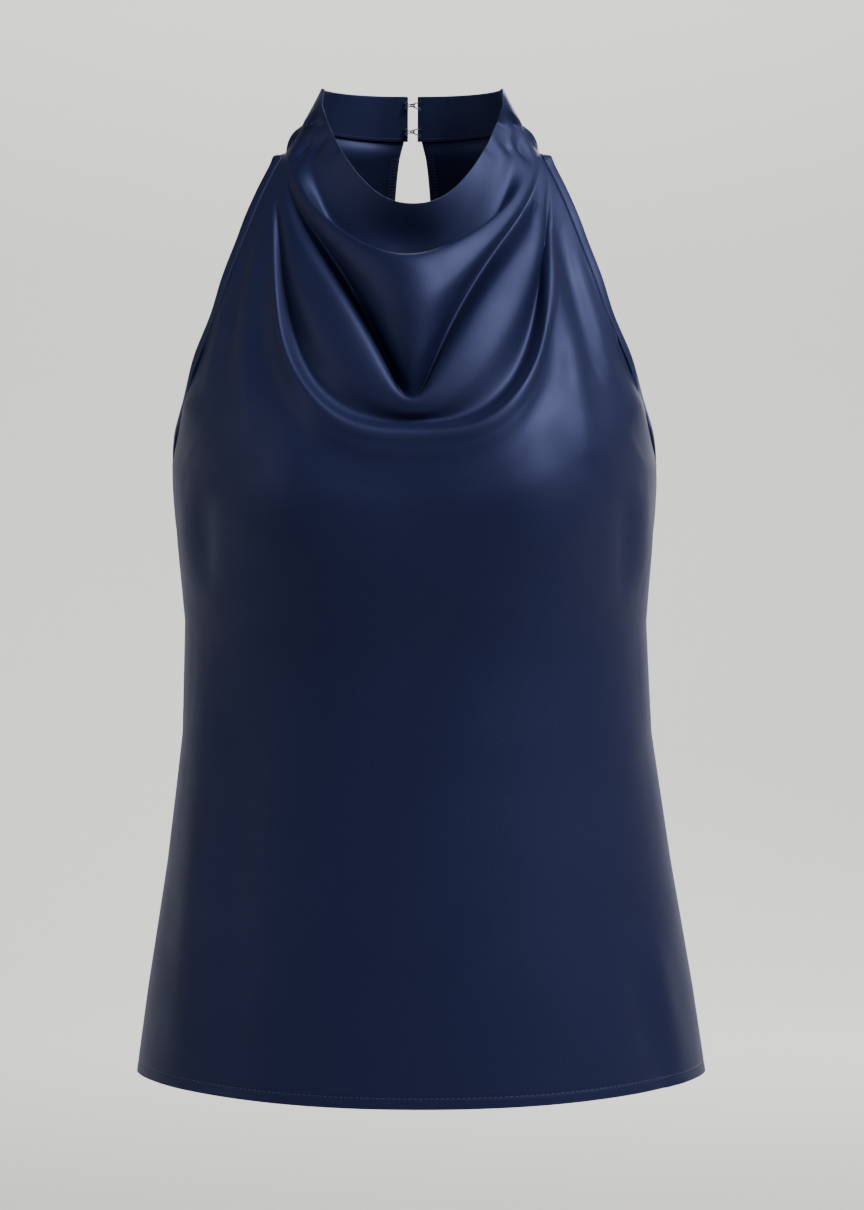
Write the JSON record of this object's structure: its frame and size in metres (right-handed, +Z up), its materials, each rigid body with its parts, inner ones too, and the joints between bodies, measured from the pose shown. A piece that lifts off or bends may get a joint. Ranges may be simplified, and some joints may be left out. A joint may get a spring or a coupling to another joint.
{
  "type": "high neck top",
  "caption": "Sleeveless halter top in satin, filled out as worn, with a cowl front, a high neck band, bound armholes and a keyhole back closed by hooks and eyes.",
  "frame": {"origin": "middle of the neck, level with the top of the shoulder seams, where a wearer's neck and shoulders hold the top up", "axes": "+Z up the wearer's body, front of the top towards -Y, the wearer's left towards +X"},
  "size_m": [0.3576, 0.2534, 0.6275],
  "materials": {
    "satin": "navy woven satin, soft sheen, with a slight blue-lavender highlight",
    "wire": "dark enamelled wire, worn bright at its bends"
  },
  "bodies": {
    "root": {"front_panel": "satin", "back_panel": "satin", "neck_band_left": "satin", "neck_band_right": "satin", "armhole_binding_left": "satin", "armhole_binding_right": "satin", "hook_upper": "wire", "hook_lower": "wire", "eye_upper": "wire", "eye_lower": "wire"}
  },
  "joints": []
}
